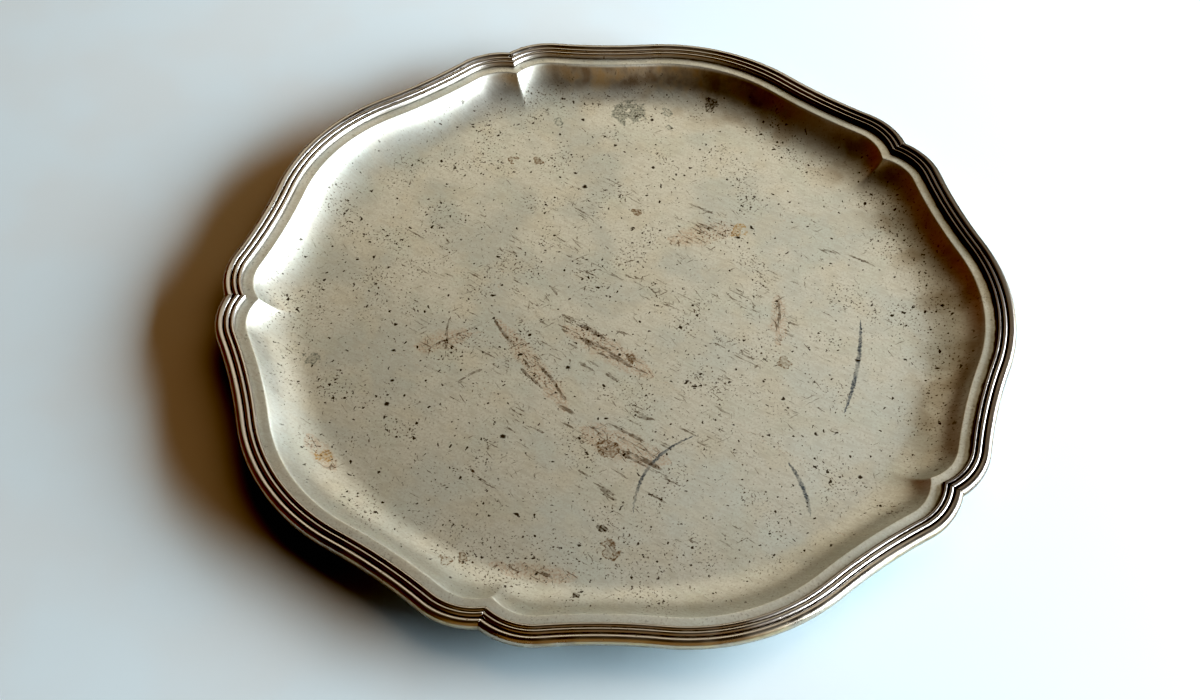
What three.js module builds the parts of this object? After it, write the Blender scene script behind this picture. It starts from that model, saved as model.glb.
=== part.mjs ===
// Round serving platter with a lobed rim: a pressed sheet tray, and on its flange a triple-reed
// moulding in mitred lengths, one to each lobe, each sweated down on a seam of solder.
// Millimetres, +Z up. The origin is the centre of the flat underside, and a lobe's middle lies on +X.

import * as THREE from 'three';

// Outline of the rim: each lobe has a crown, a shallow hollow on either side of it and two round shoulders
const platterDiameter = 300;
const lobeCount = 5;
const crownRadius = 80;
const hollowRadius = 207;
const shoulderRadius = 28.4;
const cuspDepth = 2.8; // from the circle round the crowns in to the cusp between two lobes
const cuspHalfAngle = 69; // degrees between the cusp's centre line and the edge that leaves it

// Pressed sheet: a flat round floor, a wall that sweeps up from it in one arc, and a flat flange
const sheetThickness = 1.2;
const wellDepth = 9; // from the top of the flange down to the floor
const flangeWidth = 11.2; // from the edge of the sheet in to the top of the wall
const wallRun = 17.2; // width of the wall in plan below a cusp, where it is narrowest

// Drawn moulding: three half-round reeds on a flat base, the boldest outside
const outerReedRadius = 1.85;
const middleReedRadius = 1.1;
const innerReedRadius = 1.05;
const outerReedHeight = 2;
const middleReedHeight = 2.1;
const innerReedHeight = 1.85;
const reedOverlap = 0.15; // neighbouring reeds run into each other by this much
const mitreGap = 0.3; // saw cut between two lengths
const mouldingOverhang = 0.3; // the moulding stands out past the edge of the sheet

// Solder under the moulding
const solderThickness = 0.2;
const solderInset = 0.5; // from the sides and ends of the moulding

// Fineness of the facets
const crownSteps = 4;
const hollowSteps = 4;
const shoulderSteps = 5;
const wallSteps = 6;
const outerReedSteps = 7;
const smallReedSteps = 4;

// Heights
const floorTop = sheetThickness;
const flangeTop = floorTop + wellDepth;
const mouldingBase = flangeTop + solderThickness;

// Plan of one lobe: the centres of its arcs
const halfLobe = Math.PI / lobeCount;
const cuspRay = new THREE.Vector2(Math.cos(halfLobe), Math.sin(halfLobe));
const cuspNormal = new THREE.Vector2(-cuspRay.y, cuspRay.x);
const outerCusp = cuspRay.clone().multiplyScalar(platterDiameter / 2 - cuspDepth);
const crownCentre = new THREE.Vector2(platterDiameter / 2 - crownRadius, 0);
const shoulderFacing = halfLobe + Math.PI / 2 - THREE.MathUtils.degToRad(cuspHalfAngle);
const shoulderCentre = pointAt(outerCusp, -shoulderRadius, shoulderFacing);
const hollowCentre = meetingOnTheRight(
  crownCentre,
  crownRadius + hollowRadius,
  shoulderCentre,
  shoulderRadius + hollowRadius,
);
const crownTurn = hollowCentre.clone().sub(crownCentre).angle();
const shoulderStart = hollowCentre.clone().sub(shoulderCentre).angle();

function pointAt(centre, radius, angle) {
  return new THREE.Vector2(centre.x + radius * Math.cos(angle), centre.y + radius * Math.sin(angle));
}

// Where two circles meet, on the right as one looks from the first centre to the second
function meetingOnTheRight(centreA, radiusA, centreB, radiusB) {
  const between = centreB.clone().sub(centreA);
  const distance = between.length();
  const along = (distance ** 2 + radiusA ** 2 - radiusB ** 2) / (2 * distance);
  const across = Math.sqrt(radiusA ** 2 - along ** 2);
  const direction = between.divideScalar(distance);
  const foot = centreA.clone().addScaledVector(direction, along);
  return foot.add(new THREE.Vector2(direction.y, -direction.x).multiplyScalar(across));
}

// A lobe's outline, set in from the platter's edge, from its right-hand cusp round to its left-hand
// one. A gap is left between its ends and the planes through the cusps.
function lobeOutline(inset, endGap) {
  const shoulderArc = shoulderRadius - inset;
  const endTurn = Math.asin((-endGap - shoulderCentre.dot(cuspNormal)) / shoulderArc);
  const arcs = [
    new THREE.ArcCurve(crownCentre.x, crownCentre.y, crownRadius - inset, 0, crownTurn, false),
    new THREE.ArcCurve(
      hollowCentre.x,
      hollowCentre.y,
      hollowRadius + inset,
      Math.PI + crownTurn,
      Math.PI + shoulderStart,
      true,
    ),
    new THREE.ArcCurve(
      shoulderCentre.x,
      shoulderCentre.y,
      shoulderArc,
      shoulderStart,
      halfLobe + endTurn,
      false,
    ),
  ];
  const steps = [crownSteps, hollowSteps, shoulderSteps];
  const leftHalf = arcs.flatMap((arc, index) => arc.getPoints(steps[index]).slice(1));
  const rightHalf = leftHalf.map((point) => new THREE.Vector2(point.x, -point.y)).reverse();
  return [...rightHalf, arcs[0].getPoint(0), ...leftHalf];
}

// The whole rim's outline, set in from the platter's edge
function rimOutline(inset) {
  const lobe = lobeOutline(inset, 0).slice(1);
  const axis = new THREE.Vector2();
  const outline = [];
  for (let index = 0; index < lobeCount; index++) {
    outline.push(...lobe.map((point) => point.clone().rotateAround(axis, 2 * halfLobe * index)));
  }
  return outline;
}

function atHeight(outline, height) {
  return outline.map((point) => new THREE.Vector3(point.x, point.y, height));
}

// Closed skin over a grid of points. Rows run round the platter, and each row lies beside the next.
// Either the rows join up into rings, closed by a first and a last disc, or the stack of rows closes
// on itself, with a cap at both ends.
function skin(rows, rowsAreRings, capOutline) {
  const rowCount = rows.length;
  const columnCount = rows[0].length;
  const faces = [];
  for (let row = 0; row < (rowsAreRings ? rowCount - 1 : rowCount); row++) {
    for (let column = 0; column < (rowsAreRings ? columnCount : columnCount - 1); column++) {
      const here = row * columnCount;
      const beyond = ((row + 1) % rowCount) * columnCount;
      const next = (column + 1) % columnCount;
      faces.push([here + column, beyond + column, beyond + next]);
      faces.push([here + column, beyond + next, here + next]);
    }
  }
  const lastStart = rowsAreRings ? (rowCount - 1) * columnCount : columnCount - 1;
  const stride = rowsAreRings ? 1 : columnCount;
  for (const [a, b, c] of THREE.ShapeUtils.triangulateShape(capOutline, [])) {
    faces.push([a * stride, b * stride, c * stride]);
    faces.push([lastStart + c * stride, lastStart + b * stride, lastStart + a * stride]);
  }
  const geometry = new THREE.BufferGeometry().setFromPoints(rows.flat());
  geometry.setIndex(faces.flat());
  geometry.computeVertexNormals();
  return geometry;
}

// Pressed tray: sections along the radius, from the floor out over the wall and flange and back below.
// The floor's edge is a circle, so the lobes and their creases fade out down the wall.
function trayGeometry() {
  const edge = rimOutline(mouldingOverhang);
  const wallTop = rimOutline(mouldingOverhang + flangeWidth);
  const flangeUnderside = flangeTop - sheetThickness;
  const floorRadius = Math.min(...wallTop.map((point) => point.length())) - wallRun;

  // The wall's arc leaves the floor level and reaches the flange at the top of the wall
  function wallArc(point) {
    const run = point.length() - floorRadius;
    const slope = 2 * Math.atan(wellDepth / run);
    return { slope, radius: run / Math.sin(slope) };
  }

  function onWall(point, arcRadius, centreHeight, turn) {
    const plan = point.clone().setLength(floorRadius + arcRadius * Math.sin(turn));
    return new THREE.Vector3(plan.x, plan.y, centreHeight - arcRadius * Math.cos(turn));
  }

  function upperRow(share) {
    return wallTop.map((point) => {
      const { slope, radius } = wallArc(point);
      return onWall(point, radius, floorTop + radius, slope * share);
    });
  }

  // Below, the arc is a sheet's thickness away and ends where it meets the flange's underside
  function lowerRow(share) {
    return wallTop.map((point) => {
      const { radius } = wallArc(point);
      const lowerRadius = radius + sheetThickness;
      const centreHeight = floorTop + radius;
      const slope = Math.acos((centreHeight - flangeUnderside) / lowerRadius);
      return onWall(point, lowerRadius, centreHeight, slope * share);
    });
  }

  const upperRows = [];
  const lowerRows = [];
  for (let step = 0; step <= wallSteps; step++) {
    upperRows.push(upperRow(step / wallSteps));
    lowerRows.unshift(lowerRow(step / wallSteps));
  }
  const rows = [...upperRows, atHeight(edge, flangeTop), atHeight(edge, flangeUnderside), ...lowerRows];
  return skin(rows, true, rows[0]);
}

// A length along one lobe with the given section: x is the inset from the platter's edge, y the
// height, and its points run from the inner foot over the top to the outer foot.
function lobeLength(section, endGap) {
  const rows = section.map((point) => atHeight(lobeOutline(point.x, endGap), point.y));
  const capOutline = section.map((point) => new THREE.Vector2(-point.x, point.y));
  return skin(rows, false, capOutline);
}

// The reeds' circles stand side by side, each centre found from the one outside it
function reedCentres() {
  const outerHeight = mouldingBase + outerReedHeight - outerReedRadius;
  const middleHeight = mouldingBase + middleReedHeight - middleReedRadius;
  const innerHeight = mouldingBase + innerReedHeight - innerReedRadius;
  const outerReach = outerReedRadius + middleReedRadius - reedOverlap;
  const innerReach = middleReedRadius + innerReedRadius - reedOverlap;
  const outerInset = outerReedRadius * Math.cos(sideTurn(outerHeight, outerReedRadius));
  const middleInset = outerInset + Math.sqrt(outerReach ** 2 - (outerHeight - middleHeight) ** 2);
  const innerInset = middleInset + Math.sqrt(innerReach ** 2 - (middleHeight - innerHeight) ** 2);
  return {
    outer: new THREE.Vector2(outerInset, outerHeight),
    middle: new THREE.Vector2(middleInset, middleHeight),
    inner: new THREE.Vector2(innerInset, innerHeight),
  };
}

// How far above level a reed's side ends: at its widest point, or higher where the base cuts it there
function sideTurn(centreHeight, radius) {
  return Math.asin(Math.max(0, mouldingBase - centreHeight) / radius);
}

function mouldingSection() {
  const { outer, middle, inner } = reedCentres();
  const outerGroove = meetingOnTheRight(middle, middleReedRadius, outer, outerReedRadius);
  const innerGroove = meetingOnTheRight(inner, innerReedRadius, middle, middleReedRadius);
  const innerStart = sideTurn(inner.y, innerReedRadius);
  const outerEnd = Math.PI - sideTurn(outer.y, outerReedRadius);
  const section = [
    ...reedArc(inner, innerReedRadius, innerStart, towards(inner, innerGroove), smallReedSteps),
    ...reedArc(
      middle,
      middleReedRadius,
      towards(middle, innerGroove),
      towards(middle, outerGroove),
      smallReedSteps,
    ).slice(1),
    ...reedArc(outer, outerReedRadius, towards(outer, outerGroove), outerEnd, outerReedSteps).slice(1),
  ];
  // A side that ends above the base goes on down to it as a straight edge
  if (inner.y > mouldingBase) {
    section.unshift(new THREE.Vector2(section.at(0).x, mouldingBase));
  }
  if (outer.y > mouldingBase) {
    section.push(new THREE.Vector2(section.at(-1).x, mouldingBase));
  }
  return section;
}

function reedArc(centre, radius, start, end, steps) {
  return new THREE.ArcCurve(centre.x, centre.y, radius, start, end, false).getPoints(steps);
}

function towards(centre, point) {
  return point.clone().sub(centre).angle();
}

function solderSection() {
  const mouldingFoot = mouldingSection().at(0).x;
  const innerSide = mouldingFoot - solderInset;
  const outerSide = mouldingOverhang + solderInset;
  return [
    new THREE.Vector2(innerSide, flangeTop),
    new THREE.Vector2(innerSide, mouldingBase),
    new THREE.Vector2(outerSide, mouldingBase),
    new THREE.Vector2(outerSide, flangeTop),
  ];
}

const platter = new THREE.Group();

const trayFinish = new THREE.MeshStandardMaterial({ color: 0xb3ab9a, metalness: 1, roughness: 0.42 });
const tray = new THREE.Mesh(trayGeometry(), trayFinish);
tray.name = 'tray_body';
platter.add(tray);

const mouldingShape = lobeLength(mouldingSection(), mitreGap / 2);
const solderShape = lobeLength(solderSection(), mitreGap / 2 + solderInset);
for (let index = 0; index < lobeCount; index++) {
  const turn = 2 * halfLobe * index;
  const mouldingFinish = new THREE.MeshStandardMaterial({ color: 0xa59c8c, metalness: 1, roughness: 0.35 });
  const moulding = new THREE.Mesh(mouldingShape, mouldingFinish);
  moulding.name = `rim_moulding_${index + 1}`;
  moulding.rotation.z = turn;
  const solderFinish = new THREE.MeshStandardMaterial({ color: 0x57534d, metalness: 1, roughness: 0.6 });
  const solder = new THREE.Mesh(solderShape, solderFinish);
  solder.name = `solder_seam_${index + 1}`;
  solder.rotation.z = turn;
  platter.add(moulding, solder);
}

export default platter;
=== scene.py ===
import math
from types import SimpleNamespace

import bmesh
import bpy
from mathutils import Matrix, Vector, noise


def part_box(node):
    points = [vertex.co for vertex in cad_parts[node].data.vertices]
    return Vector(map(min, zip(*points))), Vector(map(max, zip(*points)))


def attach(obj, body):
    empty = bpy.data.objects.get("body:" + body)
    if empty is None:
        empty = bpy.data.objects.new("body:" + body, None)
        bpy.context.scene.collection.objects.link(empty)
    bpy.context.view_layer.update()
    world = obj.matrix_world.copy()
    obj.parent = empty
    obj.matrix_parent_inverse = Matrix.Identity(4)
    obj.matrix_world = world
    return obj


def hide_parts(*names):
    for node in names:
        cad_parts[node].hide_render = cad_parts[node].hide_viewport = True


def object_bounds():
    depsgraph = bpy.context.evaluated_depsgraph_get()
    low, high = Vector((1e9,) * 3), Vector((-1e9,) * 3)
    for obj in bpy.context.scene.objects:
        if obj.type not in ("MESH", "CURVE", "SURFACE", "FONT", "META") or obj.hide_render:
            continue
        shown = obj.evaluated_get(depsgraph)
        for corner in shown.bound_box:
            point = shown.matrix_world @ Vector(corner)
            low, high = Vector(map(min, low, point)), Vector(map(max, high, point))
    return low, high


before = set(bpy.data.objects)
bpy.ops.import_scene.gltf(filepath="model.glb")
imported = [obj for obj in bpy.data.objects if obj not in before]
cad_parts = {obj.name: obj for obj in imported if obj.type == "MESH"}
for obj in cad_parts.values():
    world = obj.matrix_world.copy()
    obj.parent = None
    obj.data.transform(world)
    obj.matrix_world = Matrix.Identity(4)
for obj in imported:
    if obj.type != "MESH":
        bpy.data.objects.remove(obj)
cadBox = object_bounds()
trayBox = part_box("tray_body")
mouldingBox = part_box("rim_moulding_1")
toMillimetres = 1000.0
mergeReach = 1e-7
print("frame loaded:", len(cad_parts), "pieces")

# outline of the rim, shared by the tray and the mouldings (metres)
rimShape = {
    "lobes": 5,
    "radius": cadBox[1].x,  # the first lobe's crown lies on +X
    "crownRadius": 0.080,
    "hollowRadius": 0.207,
    "shoulderRadius": 0.0284,
    "cuspDepth": 0.0028,
    "cuspHalfAngle": math.radians(69),
    "crownSteps": 12,
    "hollowSteps": 8,
    "shoulderSteps": 16,
}


def onCircle(centre, radius, angle):
    return centre + radius * Vector((math.cos(angle), math.sin(angle)))


def bearing(start, end):
    return math.atan2(end.y - start.y, end.x - start.x)


# where two circles meet, on the right going from the first centre to the second
def meetOnRight(centreA, radiusA, centreB, radiusB):
    apart = centreB - centreA
    gap = apart.length
    along = (gap ** 2 + radiusA ** 2 - radiusB ** 2) / (2 * gap)
    across = math.sqrt(radiusA ** 2 - along ** 2)
    ahead = apart / gap
    return centreA + ahead * along + Vector((ahead.y, -ahead.x)) * across


halfLobe = math.pi / rimShape["lobes"]
cuspRay = Vector((math.cos(halfLobe), math.sin(halfLobe)))
cuspSide = Vector((-cuspRay.y, cuspRay.x))
crownCentre = Vector((rimShape["radius"] - rimShape["crownRadius"], 0))
shoulderFacing = halfLobe + math.pi / 2 - rimShape["cuspHalfAngle"]
outerCusp = cuspRay * (rimShape["radius"] - rimShape["cuspDepth"])
shoulderCentre = onCircle(outerCusp, -rimShape["shoulderRadius"], shoulderFacing)
hollowCentre = meetOnRight(
    crownCentre, rimShape["crownRadius"] + rimShape["hollowRadius"],
    shoulderCentre, rimShape["shoulderRadius"] + rimShape["hollowRadius"],
)
crownTurn = bearing(crownCentre, hollowCentre)
shoulderStart = bearing(shoulderCentre, hollowCentre)


def arcPoints(centre, radius, start, end, steps):
    return [onCircle(centre, radius, start + (end - start) * step / steps) for step in range(steps + 1)]


# one lobe's line at an inset from the edge, from its right-hand cusp to its left-hand one
def lobeLine(inset, endGap=0.0):
    shoulderArc = rimShape["shoulderRadius"] - inset
    endTurn = halfLobe + math.asin((-endGap - shoulderCentre.dot(cuspSide)) / shoulderArc)
    crown = arcPoints(crownCentre, rimShape["crownRadius"] - inset, 0, crownTurn, rimShape["crownSteps"])
    hollow = arcPoints(
        hollowCentre, rimShape["hollowRadius"] + inset,
        math.pi + crownTurn, math.pi + shoulderStart, rimShape["hollowSteps"],
    )
    shoulder = arcPoints(shoulderCentre, shoulderArc, shoulderStart, endTurn, rimShape["shoulderSteps"])
    left = crown[1:] + hollow[1:] + shoulder[1:]
    right = [Vector((point.x, -point.y)) for point in reversed(left)]
    return right + crown[:1] + left


def turned(point, angle):
    return Matrix.Rotation(angle, 2) @ point


# the whole rim's line at an inset; each lobe's last point is a cusp
def rimLine(inset):
    lobe = lobeLine(inset)[1:]
    turns = [2 * halfLobe * index for index in range(rimShape["lobes"])]
    return [turned(point, turn) for turn in turns for point in lobe]


# how far a place near the rim lies inside the platter's edge
def insetAt(place):
    spot = place.xy
    lobe = round(math.atan2(spot.y, spot.x) / (2 * halfLobe))
    spot = turned(spot, -2 * halfLobe * lobe)
    spot.y = abs(spot.y)
    if bearing(crownCentre, spot) < crownTurn:
        return rimShape["crownRadius"] - (spot - crownCentre).length
    if bearing(shoulderCentre, spot) > shoulderStart:
        return rimShape["shoulderRadius"] - (spot - shoulderCentre).length
    return (spot - hollowCentre).length - rimShape["hollowRadius"]


def atHeight(line, height):
    return [Vector((point.x, point.y, height)) for point in line]


def edgesAlong(bm, verts, closed):
    pairs = list(zip(verts, verts[1:] + verts[:1] if closed else verts[1:]))
    return [bm.edges.get(pair) for pair in pairs]


# extrudes a closed row of vertices and sets the new row in its places
def growRow(bm, row, places):
    grown = bmesh.ops.extrude_edge_only(bm, edges=edgesAlong(bm, row, True))["geom"]
    order = {vert: index for index, vert in enumerate(row)}
    newRow = [None] * len(row)
    for vert in grown:
        if isinstance(vert, bmesh.types.BMVert):
            old = next(edge.other_vert(vert) for edge in vert.link_edges if edge.other_vert(vert) in order)
            newRow[order[old]] = vert
    for vert, place in zip(newRow, places):
        vert.co = place
    return newRow


def roundEdges(bm, edges, width, segments):
    bmesh.ops.bevel(
        bm, geom=edges, offset=width, offset_type="OFFSET", affect="EDGES", segments=segments, profile=0.5,
        material=-1, clamp_overlap=True,
    )


def finishPiece(bm, name, material, replaced, sharpAngle):
    bmesh.ops.remove_doubles(bm, verts=bm.verts, dist=mergeReach)
    bmesh.ops.recalc_face_normals(bm, faces=bm.faces)
    for face in bm.faces:
        face.smooth = True
    for edge in bm.edges:
        edge.smooth = edge.calc_face_angle(0) < sharpAngle
    mesh = bpy.data.meshes.new(name)
    bm.to_mesh(mesh)
    bm.free()
    piece = bpy.data.objects.new(name, mesh)
    bpy.context.scene.collection.objects.link(piece)
    mesh.materials.append(material)
    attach(piece, "root")
    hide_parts(replaced)
    return piece


# small helpers for shader nodes
def feed(tree, socket, value):
    if isinstance(value, bpy.types.NodeSocket):
        tree.links.new(value, socket)
    else:
        socket.default_value = value


def addNode(tree, kind, inputs=None, **settings):
    made = tree.nodes.new("ShaderNode" + kind)
    for name, value in settings.items():
        setattr(made, name, value)
    for key, value in (inputs or {}).items():
        feed(tree, made.inputs[key], value)
    return made


def calc(tree, operation, *values):
    made = tree.nodes.new("ShaderNodeMath")
    made.operation = operation
    for socket, value in zip(made.inputs, values):
        feed(tree, socket, value)
    return made.outputs[0]


def product(tree, first, *others):
    total = first
    for value in others:
        total = calc(tree, "MULTIPLY", total, value)
    return total


def strongest(tree, first, *others):
    total = first
    for value in others:
        total = calc(tree, "MAXIMUM", total, value)
    return total


def vectorCalc(tree, operation, first, second=None, scale=None):
    made = tree.nodes.new("ShaderNodeVectorMath")
    made.operation = operation
    feed(tree, made.inputs[0], first)
    if second is not None:
        feed(tree, made.inputs[1], second)
    if scale is not None:
        feed(tree, made.inputs["Scale"], scale)
    return made.outputs["Value"] if operation in ("LENGTH", "DOT_PRODUCT") else made.outputs["Vector"]


def moved(tree, vector, x, y):
    return vectorCalc(tree, "ADD", vector, (x, y, 0))


# eases from start to end while the value goes from low to high; a band in the settings holds these numbers
def ease(tree, value, low, high, start=0.0, end=1.0):
    made = addNode(tree, "MapRange", {
        "Value": value, "From Min": low, "From Max": high, "To Min": start, "To Max": end,
    }, interpolation_type="SMOOTHSTEP")
    return made.outputs["Result"]


# stretches a mask to go from the least value to the most
def between(tree, mask, least, most):
    return calc(tree, "MULTIPLY_ADD", mask, most - least, least)


def tint(tree, amount, under, over):
    made = tree.nodes.new("ShaderNodeMix")
    made.data_type = "RGBA"
    feed(tree, made.inputs["Factor"], amount)
    for socket, value in zip((made.inputs[6], made.inputs[7]), (under, over)):
        feed(tree, socket, value if isinstance(value, bpy.types.NodeSocket) else (*value, 1))
    return made.outputs[2]


def noiseAt(tree, vector, size, detail=2.0):
    return addNode(tree, "TexNoise", {
        "Vector": vector, "Scale": 1 / size, "Detail": detail,
    }, noise_dimensions="2D").outputs["Fac"]


# pushes a vector about by a soft noise, so that marks lose their even edges
def wander(tree, vector, size, reach):
    soft = addNode(tree, "TexNoise", {
        "Vector": vector, "Scale": 1 / size, "Detail": 1.0,
    }, noise_dimensions="2D")
    offset = vectorCalc(tree, "SUBTRACT", soft.outputs["Color"], (0.5, 0.5, 0.5))
    return vectorCalc(tree, "ADD", vector, vectorCalc(tree, "SCALE", offset, scale=reach))


def newGroup(name, inputs):
    group = bpy.data.node_groups.new(name, "ShaderNodeTree")
    for socket, kind in inputs.items():
        group.interface.new_socket(socket, in_out="INPUT", socket_type="NodeSocket" + kind)
    group.interface.new_socket("Mask", in_out="OUTPUT", socket_type="NodeSocketFloat")
    entry = group.nodes.new("NodeGroupInput")
    leave = group.nodes.new("NodeGroupOutput")
    return group, entry.outputs, leave.inputs["Mask"]


def useGroup(tree, group, **values):
    made = tree.nodes.new("ShaderNodeGroup")
    made.node_tree = group
    for key, value in values.items():
        feed(tree, made.inputs[key], value)
    return made.outputs["Mask"]


# lays a pattern's cells along an angle; lengths on the finishes are in millimetres
def layCells(tree, vector, angle, length, width):
    laid = addNode(tree, "Mapping", {
        "Vector": vector, "Rotation": (0, 0, math.radians(angle)), "Scale": (length, width, 1),
    }, vector_type="TEXTURE")
    return laid.outputs[0]


# corrosion pits: at most one to a cell, of random size
pitShape = {"leastSize": 0.3, "sizePower": 2.5, "core": 0.4}


def makePitGroup():
    s = pitShape
    group, given, mask = newGroup("scatteredPits", {
        "Vector": "Vector", "Spacing": "Float", "Radius": "Float", "Share": "Float",
    })
    perCell = calc(group, "DIVIDE", 1.0, given["Spacing"])
    cells = addNode(group, "TexVoronoi", {
        "Vector": vectorCalc(group, "SCALE", given["Vector"], scale=perCell), "Scale": 1.0,
    }, voronoi_dimensions="2D")
    chance = addNode(group, "SeparateColor", {"Color": cells.outputs["Color"]})
    size = between(group, calc(group, "POWER", chance.outputs["Green"], s["sizePower"]), s["leastSize"], 1.0)
    reach = product(group, size, given["Radius"], perCell)
    core = product(group, reach, s["core"])
    pit = ease(group, cells.outputs["Distance"], core, reach, 1.0, 0.0)
    there = calc(group, "LESS_THAN", chance.outputs["Red"], given["Share"])
    feed(group, mask, product(group, pit, there))
    return group


# soft clouds, where a noise rises above a level
def makeCloudGroup():
    group, given, mask = newGroup("toneClouds", {
        "Vector": "Vector", "Size": "Float", "Level": "Float", "Range": "Float",
    })
    soft = addNode(group, "TexNoise", {
        "Vector": given["Vector"], "Scale": calc(group, "DIVIDE", 1.0, given["Size"]), "Detail": 2.0,
    }, noise_dimensions="2D")
    top = calc(group, "ADD", given["Level"], given["Range"])
    feed(group, mask, ease(group, soft.outputs["Fac"], given["Level"], top))
    return group


# one long mark, thinning out to its ends and bowed to one side, in halves of its length and width
markShape = {"thinnest": 0.0001, "edgeBand": (0.1, 1.0, 1.0, 0.0)}


def makeLongMarkGroup():
    s = markShape
    group, given, mask = newGroup("longMark", {"Vector": "Vector", "Bow": "Float"})
    parts = addNode(group, "SeparateXYZ", {"Vector": given["Vector"]})
    along = parts.outputs["X"]
    rest = calc(group, "SUBTRACT", 1.0, product(group, along, along))
    across = calc(group, "SUBTRACT", parts.outputs["Y"], product(group, given["Bow"], rest))
    away = calc(group, "DIVIDE", product(group, across, across), strongest(group, rest, s["thinnest"]))
    feed(group, mask, ease(group, away, *s["edgeBand"]))
    return group


# outline left by a dried drop of radius one, and as much of its middle as is asked for
dropShape = {"outline": 0.82, "outlineBand": (0.04, 0.18, 1.0, 0.0), "middleBand": (0.7, 1.0, 1.0, 0.0)}


def makeDropGroup():
    s = dropShape
    group, given, mask = newGroup("driedDrop", {"Vector": "Vector", "Fill": "Float"})
    away = vectorCalc(group, "LENGTH", given["Vector"])
    edge = calc(group, "ABSOLUTE", calc(group, "SUBTRACT", away, s["outline"]))
    middle = product(group, ease(group, away, *s["middleBand"]), given["Fill"])
    feed(group, mask, strongest(group, ease(group, edge, *s["outlineBand"]), middle))
    return group


pits = makePitGroup()
clouds = makeCloudGroup()
longMark = makeLongMarkGroup()
driedDrop = makeDropGroup()
print("shader groups made:", len(bpy.data.node_groups))


def cloudMask(tree, vector, cloud):
    return useGroup(
        tree, clouds, Vector=moved(tree, vector, *cloud["at"]), Size=cloud["size"], Level=cloud["level"],
        Range=cloud["range"],
    )


def pitMask(tree, vector, pit):
    return useGroup(
        tree, pits, Vector=vector, Spacing=pit["spacing"], Radius=pit["radius"], Share=pit["share"],
    )


# a new material with its tree, its shader and the place on the piece in millimetres
def newMaterial(name):
    material = bpy.data.materials.new(name)
    material.use_nodes = True
    tree = material.node_tree
    place = addNode(tree, "TexCoord").outputs["Object"]
    spot = vectorCalc(tree, "SCALE", place, scale=toMillimetres)
    return material, tree, tree.nodes["Principled BSDF"], spot


def readLayer(tree, name):
    return addNode(tree, "Attribute", attribute_name=name).outputs["Fac"]


def addBump(tree, shader, height, strength, depth):
    bump = addNode(tree, "Bump", {"Height": height, "Strength": strength, "Distance": depth})
    feed(tree, shader.inputs["Normal"], bump.outputs["Normal"])


# worn plate of the tray: colours, then roughness and relief
trayFinish = {
    "plate": (0.72, 0.725, 0.685),
    "greyer": (0.62, 0.64, 0.605),
    "warmer": (0.68, 0.655, 0.575),
    "cooler": (0.63, 0.68, 0.64),
    "scuff": (0.52, 0.51, 0.465),
    # tarnish, and also the colour of the painted shade on the cove
    "tarnishAndShade": (0.20, 0.135, 0.085),
    # specks, and also the colour of the painted corner shade along the moulding's foot
    "speckAndShade": (0.085, 0.06, 0.042),
    "pit": (0.03, 0.022, 0.016),
    "copper": (0.56, 0.37, 0.26),
    "blueGrey": (0.15, 0.18, 0.21),
    "greyStain": (0.24, 0.27, 0.26),
    "ochre": (0.50, 0.36, 0.19),
    "floorRoughness": 0.52,
    "wallRoughness": 0.44,
    "cloudRoughness": (-0.03, 0.03),  # added, from clear plate to greyed
    "markRoughness": 0.2,
    "polishLines": (-20, 12.0, 0.3),  # angle, length and width
    "lineRelief": 0.12,
    "grainRelief": 0.15,
    "reliefStrength": 0.5,
    "reliefDepth": 0.00012,  # metres, as for all bumps
}

# regions of the tray by height above the floor, the side that gets painted shade, and how far marks and
# grain stray
trayRegions = {
    "floorBand": (0.5, 3.0, 1.0, 0.0),
    "wallFoot": (0.8, 4.3),
    "wallTop": (7.8, 8.8, 1.0, 0.0),
    "shadedSide": (0.87, 0.5, 0.0),  # a direction
    "wornWander": (1.2, 0.9),  # size and reach
    "warpedWander": (5.0, 4.0),
    "grainSize": 0.9,
    "brokenBand": (0.40, 0.58),
}


# what the layers of the finish share: places on the tray, masks of its regions, and the grain
def findPlaces(tree, spot):
    s = trayRegions
    parts = addNode(tree, "SeparateXYZ", {"Vector": spot})
    flat = addNode(tree, "CombineXYZ", {"X": parts.outputs["X"], "Y": parts.outputs["Y"]}).outputs[0]
    rise = calc(tree, "SUBTRACT", parts.outputs["Z"], toMillimetres * trayShape["sheet"])
    upper = readLayer(tree, "upperSide")
    worn = wander(tree, flat, *s["wornWander"])
    grain = noiseAt(tree, flat, s["grainSize"])
    return SimpleNamespace(
        x=parts.outputs["X"],
        y=parts.outputs["Y"],
        flat=flat,
        rise=rise,
        upper=upper,
        fromMiddle=vectorCalc(tree, "LENGTH", flat),
        towardsShade=vectorCalc(tree, "DOT_PRODUCT", flat, s["shadedSide"]),
        onFloor=product(tree, upper, ease(tree, rise, *s["floorBand"])),
        onWall=product(tree, upper, ease(tree, rise, *s["wallFoot"]), ease(tree, rise, *s["wallTop"])),
        worn=worn,
        warped=wander(tree, worn, *s["warpedWander"]),
        grain=grain,
        broken=ease(tree, grain, *s["brokenBand"]),
    )


# broad tone: clouds of other colours, scuffs, and a duller underside
toneClouds = {
    "grey": {"at": (0, 0), "size": 32.0, "level": 0.40, "range": 0.24, "share": 0.8, "colour": "greyer"},
    "warm": {"at": (90, 40), "size": 14.0, "level": 0.46, "range": 0.24, "share": 0.4, "colour": "warmer"},
    "cool": {"at": (20, -70), "size": 18.0, "level": 0.48, "range": 0.24, "share": 0.3, "colour": "cooler"},
}
scuffTone = {
    "cells": (-30, 5.0, 1.5),  # angle, length and width
    "detail": 3.0,
    "band": (0.42, 0.70, 0.0, 0.4),
    "grainBand": (0.40, 0.70, 0.0, 0.4),
    "underTarnish": 0.3,
}


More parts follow.
